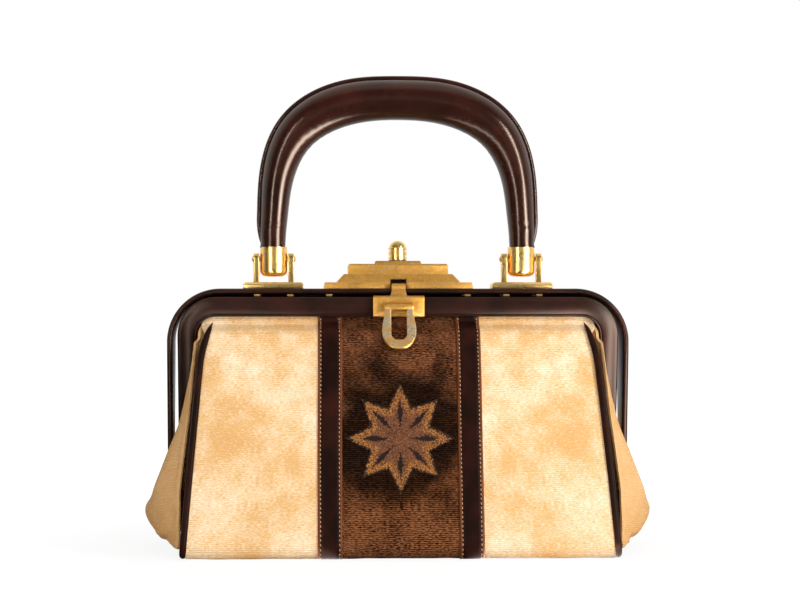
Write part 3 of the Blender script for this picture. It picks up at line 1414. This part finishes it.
class HANDBAG_OT_jaws(bpy.types.Operator):
    """Makes the leather-covered bands of both jaws, with a turned edge along the inside"""

    bl_idname = "handbag.jaws"
    bl_label = "Jaws"

    def execute(self, context):
        middle_x = JAW_HALF_WIDTH - JAW_WIDTH / 2
        middle_reach = JAW_REACH - JAW_WIDTH / 2
        line = Outline(rounded_line(
            [(middle_x, JAW_LEG_END), (middle_x, middle_reach), (-middle_x, middle_reach), (-middle_x, JAW_LEG_END)],
            [JAW_CORNER_RADIUS] * 2,
        ))
        section = self.section()
        columns = len(section) - 1
        for name, way, body in (("front", 1, "front_jaw_frame"), ("rear", -1, "bag_body")):

            def place(part_across, part_along):
                (x, reach), (out_x, out_reach) = line.at(part_along * line.length)
                across, height = section[min(round(part_across * columns), columns)]
                y, z = jaw_point(reach + out_reach * across, height)
                return x + out_x * across, way * y, z

            band = lay_grid(f"jaw_leather_{name}", columns, 230, place, (28, line.length))
            smooth(close_shape(band), 50)
            finish_piece(band, MATERIALS["leather"], [f"{name}_jaw"], body)
        return {"FINISHED"}

    def section(self):
        """The band's outline, across it from the inner edge and out of its plane."""
        half = JAW_WIDTH / 2
        inner_high, outer_high = 3.4, 2.2
        points = [(-half, 0.0), (-half, inner_high - 1.0)]
        for k in range(1, 5):
            angle = math.pi / 2 * k / 4
            points.append((-half + 0.9 * (1 - math.cos(angle)), inner_high - 1.0 + 0.9 * math.sin(angle)))
        points += [(-half + 1.25, inner_high - 0.38), (-half + 1.6, inner_high - 0.05)]
        for k in range(1, 13):
            part = k / 13
            across = -half + 1.6 + (JAW_WIDTH - 2.6) * part
            bow = 0.55 * math.sin(math.pi * min(part * 1.1, 1))
            points.append((across, inner_high - 0.05 + (outer_high + 0.15 - inner_high) * part**1.6 + bow))
        for k in range(0, 6):
            angle = math.pi / 2 * k / 5
            points.append((half - 1.0 + 1.0 * math.sin(angle), outer_high - 0.9 + 1.0 * math.cos(angle)))
        points += [(half, 0.0), (0.0, 0.0), (-half, 0.0)]
        return points


class HANDBAG_OT_hoop(bpy.types.Operator):
    """Makes the leather-covered strip that goes over the whole bag"""

    bl_idname = "handbag.hoop"
    bl_label = "Outer hoop"

    def execute(self, context):
        half_x = HOOP_HALF_WIDTH - HOOP_THICKNESS / 2
        top = HOOP_TOP - HOOP_THICKNESS / 2
        low = HINGE_Z - HOOP_END_RADIUS
        line = Outline(rounded_line(
            [(half_x, low), (half_x, top), (-half_x, top), (-half_x, low)],
            [HOOP_CORNER_RADIUS - HOOP_THICKNESS / 2] * 2,
        ))
        columns, rows = 40, 300
        half_thick = HOOP_THICKNESS / 2
        corner = 1.1

        def half_depth(z):
            if z < HINGE_Z:
                return math.sqrt(max(HOOP_END_RADIUS**2 - (HINGE_Z - z) ** 2, 0.05))
            part = min((z - HINGE_Z) / (HOOP_TAPER_TOP - HINGE_Z), 1)
            return HOOP_END_RADIUS + (HOOP_HALF_DEPTH - HOOP_END_RADIUS) * part

        def place(part_across, part_along):
            # Rows crowd towards both ends, where the legs are round
            spread = 0.5 - 0.5 * math.cos(math.pi * part_along)
            eased = 0.75 * part_along + 0.25 * spread
            (x, z), (out_x, out_z) = line.at(eased * line.length)
            depth = half_depth(z)
            angle = 2 * math.pi * part_across
            # A rounded rectangle, written as a blunt ellipse
            power = 0.16
            y = depth * math.copysign(abs(math.cos(angle)) ** power, math.cos(angle))
            thick = half_thick * math.copysign(abs(math.sin(angle)) ** 0.35, math.sin(angle))
            edge = max(0.0, abs(y) - (depth - corner)) / corner
            thick *= math.sqrt(max(1 - 0.85 * edge * edge, 0.05))
            return x + out_x * thick, y, z + out_z * thick

        hoop = lay_grid("hoop_leather", columns, rows, place, (42, line.length))
        smooth(close_shape(hoop), 50)
        finish_piece(hoop, MATERIALS["leather"], ["outer_hoop"], "bag_body")
        strips = [self.lip(line, first, last) for first, last in self.lip_spans(line)]
        make_active(strips[0])
        for strip in strips:
            strip.select_set(True)
        bpy.ops.object.join()
        lip = context.object
        lip.name = "hoop_turned_edge"
        finish_piece(smooth(lip, 50), MATERIALS["leather"], [], "bag_body")
        return {"FINISHED"}

    def lip_spans(self, line):
        """Where the rear edge turns down: round both corners and over the top, with gaps at the clips."""
        spans, start = [], None
        for distance in np.arange(0, line.length, 0.4):
            x, z = line.point(distance)
            open_here = z > 112.5 and not any(abs(x - clip) < 5.2 and z > 140 for clip in CLIP_PLACES)
            if open_here and start is None:
                start = distance
            if not open_here and start is not None:
                spans.append((start, distance - 0.4))
                start = None
        return spans

    def lip(self, line, first, last):
        """One stretch of the turned edge. It runs out beside the rear jaw, lower down."""
        depth = 1.6
        columns = 12

        def place(part_across, part_along):
            (x, z), (out_x, out_z) = line.at(first + (last - first) * part_along)
            ease = min(max((z - 134.5) / 4, 0), 1) if abs(x) > 100 else 1
            reach = HOOP_LIP * ease + 0.15
            angle = 2 * math.pi * part_across
            y = HOOP_HALF_DEPTH - 1.0 + depth / 2 * math.copysign(abs(math.cos(angle)) ** 0.5, math.cos(angle))
            rounded = math.copysign(abs(math.sin(angle)) ** 0.7, math.sin(angle))
            inward = HOOP_THICKNESS / 2 - 0.6 + reach * (0.5 - 0.5 * rounded)
            return x - out_x * inward, y, z - out_z * inward

        return close_shape(lay_grid("lip_strip", columns, max(4, int((last - first) / 1.6)), place, (8, last - first)))


def bevelled_copy(node, name, width, materials, reshape=None, angle=30):
    """A copy of a metal part whose edges are rounded, with the second material on them."""
    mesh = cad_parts[node].data.copy()
    for vertex in mesh.vertices if reshape else ():
        vertex.co = Vector(reshape(*(vertex.co / MM))) * MM
    obj = bpy.data.objects.new(name, mesh)
    bpy.context.scene.collection.objects.link(obj)
    make_active(obj)
    bpy.ops.object.mode_set(mode="EDIT")
    bpy.ops.mesh.select_all(action="SELECT")
    bpy.ops.mesh.customdata_custom_splitnormals_clear()
    bpy.ops.mesh.remove_doubles(threshold=0.000004)
    bpy.ops.mesh.dissolve_limited(angle_limit=math.radians(0.6))
    bpy.ops.object.mode_set(mode="OBJECT")
    obj.data.materials.clear()
    for one in materials:
        obj.data.materials.append(one)
    apply_modifier(
        obj, "BEVEL", width=width, segments=3, limit_method="ANGLE", angle_limit=math.radians(angle),
        material=len(materials) - 1, use_clamp_overlap=True,
    )
    return smooth(obj, 35)


def longer_ring(x, y, z):
    """The worn ring hangs a little lower than the plain one."""
    down = -((y - RING_AXIS[0]) * math.sin(RING_LEAN) + (z - RING_AXIS[1]) * math.cos(RING_LEAN))
    more = max(down - 3, 0) * 0.063
    return x, y - math.sin(RING_LEAN) * more, z - math.cos(RING_LEAN) * more


def raised_hasp(x, y, z):
    """The hasp's plate sits a little higher on the jaw than its tongue's foot."""
    reach = (z - HINGE_Z) * math.cos(JAW_TILT) - y * math.sin(JAW_TILT)
    out = -y * math.cos(JAW_TILT) - (z - HINGE_Z) * math.sin(JAW_TILT)
    if reach < 88.3:
        reach += 1.2
    elif 97.4 < reach < 98.9 and abs(x) > 3.8:
        reach += 1.5
    return x, *jaw_point(reach, out)


class HANDBAG_OT_brass(bpy.types.Operator):
    """Finishes the lock, the hasp, the ring and the handle's fittings"""

    bl_idname = "handbag.brass"
    bl_label = "Brass fittings"
    reshapes = {"pull_ring": longer_ring, "hasp_plate": raised_hasp}

    def execute(self, context):
        width = context.scene.handbag_sizes.rubbed_edge
        aged, brass, rubbed = MATERIALS["aged"], MATERIALS["brass"], MATERIALS["rubbed"]
        pieces = [
            ("lock_plate", "lock_stepped_plate", width, (aged, rubbed), "bag_body"),
            ("hasp_plate", "hasp_with_tongue", width, (aged, rubbed), "front_jaw_frame"),
            ("pull_ring", "hasp_ring", width, (rubbed, aged), "ring"),
            ("handle_bracket_left", "bracket_left", width * 0.7, (brass, brass), "bag_body"),
            ("handle_bracket_right", "bracket_right", width * 0.7, (brass, brass), "bag_body"),
        ]
        for node, name, edge, materials, body in pieces:
            piece = bevelled_copy(node, name, edge, materials, self.reshapes.get(node))
            extra = {"pull_ring": self.ring_bar, "hasp_plate": self.neck_flare}.get(node)
            if extra:
                added = extra()
                make_active(piece)
                added.select_set(True)
                bpy.ops.object.join()
            kept = [face.material_index for face in piece.data.polygons]
            if node == "pull_ring":
                # The gilding is left on the lower part
                kept = [
                    1 if face.center.z < RING_GILDED_BELOW else index
                    for face, index in zip(piece.data.polygons, kept)
                ]
            finish_piece(piece, materials, [node], body)
            piece.data.polygons.foreach_set("material_index", kept)

        def pairs(*kinds):
            return [f"{kind}_{side}" for kind in kinds for side in ("left", "right")]

        plain = {
            "brass": ["lock_knob", "mounting_prongs", *pairs("handle_ferrule", "handle_pin", "hinge_pin")],
            "black": ["lock_catch"],
            "steel": ["lock_spring", "rear_jaw_clips", *pairs("front_lug", "rear_lug")],
        }
        for finish, nodes in plain.items():
            for node in nodes:
                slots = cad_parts[node].data.materials
                slots.clear()
                slots.append(MATERIALS[finish])
        # The arched leaf spring lies flat when the knob is pressed
        leaf = bpy.data.objects.new("lock_leaf_spring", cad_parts["lock_spring"].data.copy())
        context.scene.collection.objects.link(leaf)
        finish_piece(leaf, MATERIALS["steel"], ["lock_spring"], "bag_body")
        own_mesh(leaf)
        return {"FINISHED"}

    def ring_bar(self):
        """The rolled top of the ring, round the hasp's knuckle."""
        deselect_all()
        bpy.ops.mesh.primitive_cylinder_add(
            vertices=28, radius=RING_BAR_RADIUS * MM, depth=RING_BAR_LENGTH * MM, rotation=(0, math.pi / 2, 0),
            location=(0, RING_AXIS[0] * MM, RING_AXIS[1] * MM),
        )
        bar = bpy.context.object
        bpy.ops.object.transform_apply(location=True, rotation=True, scale=True)
        apply_modifier(bar, "BEVEL", width=0.5 * MM, segments=3, limit_method="ANGLE")
        return smooth(bar, 35)

    def neck_flare(self):
        """Where the tongue widens into the hasp's plate."""
        # Y, Z and half width, from the plate upwards
        rows = np.array([
            (-22.7, 141.9, 6.2), (-22.4, 142.9, 5.2), (-22.0, 144.1, 4.4), (-20.7, 145.5, 4.05), (-19.6, 146.5, 3.96),
        ])

        def place(part_across, part_along):
            y, z, half = (np.interp(part_along * 4, range(5), rows[:, k]) for k in range(3))
            return half * (2 * part_across - 1), y, z

        flare = lay_grid("neck_flare", 2, 12, place, (10, 5))
        face_towards(flare, (0, -1, 0))
        apply_modifier(flare, "SOLIDIFY", thickness=1.1 * MM, offset=-1)
        return smooth(flare, 35)


class HANDBAG_OT_handle(bpy.types.Operator):
    """Makes the padded leather arch and the welt along its outer curve"""

    bl_idname = "handbag.handle"
    bl_label = "Handle"

    def execute(self, context):
        first = [(-x, z, high, deep) for x, z, high, deep in GRIP_STATIONS]
        second = [(x, z, high, deep) for x, z, high, deep in reversed(GRIP_STATIONS[:-1])]
        self.arch = smooth_curve(first + second, (0, 1, 0.08, 0.08), (0, -1, -0.08, -0.08))
        columns, rows = 72, 200

        def place(part_across, part_along):
            x, z, high, deep, out_x, out_z = self.read(part_along)
            angle = 2 * math.pi * part_across
            full = high - WELT_HEIGHT * 0.42 * self.welt_size(part_along)
            shift = -(high - full)
            y = deep * math.cos(angle)
            out = shift + full * math.sin(angle)
            pinch = self.crease(z, math.cos(angle))
            # Soft wrinkles along the inside of the bend
            inside = max(0.0, -math.sin(angle)) * math.exp(-((z - 238) / 12) ** 2)
            ripple = 0.10 * inside * math.sin(part_along * 260 + 2 * uneven(x, z, 8))
            scale = 1 - pinch - ripple * 0.05 + 0.006 * uneven(x + 40 * math.cos(angle), z, 14, 2.2)
            return x + out_x * out * scale, y * scale, z + out_z * out * scale

        grip = lay_grid("grip_padded_leather", columns, rows, place, (70, 380))
        smooth(close_shape(grip), 70)
        finish_piece(grip, MATERIALS["grip"], ["handle_grip"], "handle")

        def welt_at(part):
            x, z, high, _, out_x, out_z = self.read(part)
            size = self.welt_size(part)
            centre = high - WELT_RADIUS * (0.4 + 0.6 * size) - 0.8 * (1 - size)
            return Vector((x + out_x * centre, 0, z + out_z * centre)), Vector((out_x, 0, out_z)), Vector((0, 1, 0))

        welt = tube("grip_welt", welt_at, 1.0, lambda part: WELT_RADIUS * (0.25 + 0.75 * self.welt_size(part)), 220, 16)
        finish_piece(welt, MATERIALS["grip"], [], "handle")
        return {"FINISHED"}

    def read(self, part):
        """X, Z, half height and half depth part of the way round, and the way outwards."""
        x, z, high, deep = self.arch(part)
        step = 0.002
        ahead = self.arch(min(part + step, 1)) - self.arch(max(part - step, 0))
        length = math.hypot(ahead[0], ahead[1])
        return x, z, high, deep, -ahead[1] / length, ahead[0] / length

    def welt_size(self, part):
        """Full along the arch, running out to nothing above each ferrule."""
        end = min(part, 1 - part)
        return min(max((end - 0.012) / 0.05, 0), 1) ** 0.5

    def crease(self, z, across):
        """The nick above each ferrule, on the front and rear of the leg."""
        line = CREASE_Z + 0.8 * across
        return 0.05 * math.exp(-((z - line) / 0.8) ** 2) * max(0.0, abs(across)) ** 3


class HANDBAG_PT_panel(bpy.types.Panel):
    """Lists the bag's steps in the sidebar"""

    bl_label = "Velvet handbag"
    bl_idname = "HANDBAG_PT_panel"
    bl_space_type = "VIEW_3D"
    bl_region_type = "UI"
    bl_category = "Handbag"

    def draw(self, context):
        for operator in OPERATORS:
            self.layout.operator(operator.bl_idname)
        for group in (context.scene.handbag_sizes, context.scene.handbag_colours):
            for name in group.__annotations__:
                self.layout.prop(group, name)


OPERATORS = (
    HANDBAG_OT_stage, HANDBAG_OT_velvet, HANDBAG_OT_star, HANDBAG_OT_straps, HANDBAG_OT_piping,
    HANDBAG_OT_gussets, HANDBAG_OT_lining, HANDBAG_OT_jaws, HANDBAG_OT_hoop, HANDBAG_OT_brass,
    HANDBAG_OT_handle,
)
CLASSES = (HandbagSizes, HandbagColours, *OPERATORS, HANDBAG_PT_panel)


def register():
    for one in CLASSES:
        bpy.utils.register_class(one)
    bpy.types.Scene.handbag_sizes = bpy.props.PointerProperty(type=HandbagSizes)
    bpy.types.Scene.handbag_colours = bpy.props.PointerProperty(type=HandbagColours)


def unregister():
    del bpy.types.Scene.handbag_sizes
    del bpy.types.Scene.handbag_colours
    for one in reversed(CLASSES):
        bpy.utils.unregister_class(one)


def main():
    register()
    make_materials()
    for operator in OPERATORS:
        group, name = operator.bl_idname.split(".")
        getattr(getattr(bpy.ops, group), name)()


if __name__ == "__main__":
    main()
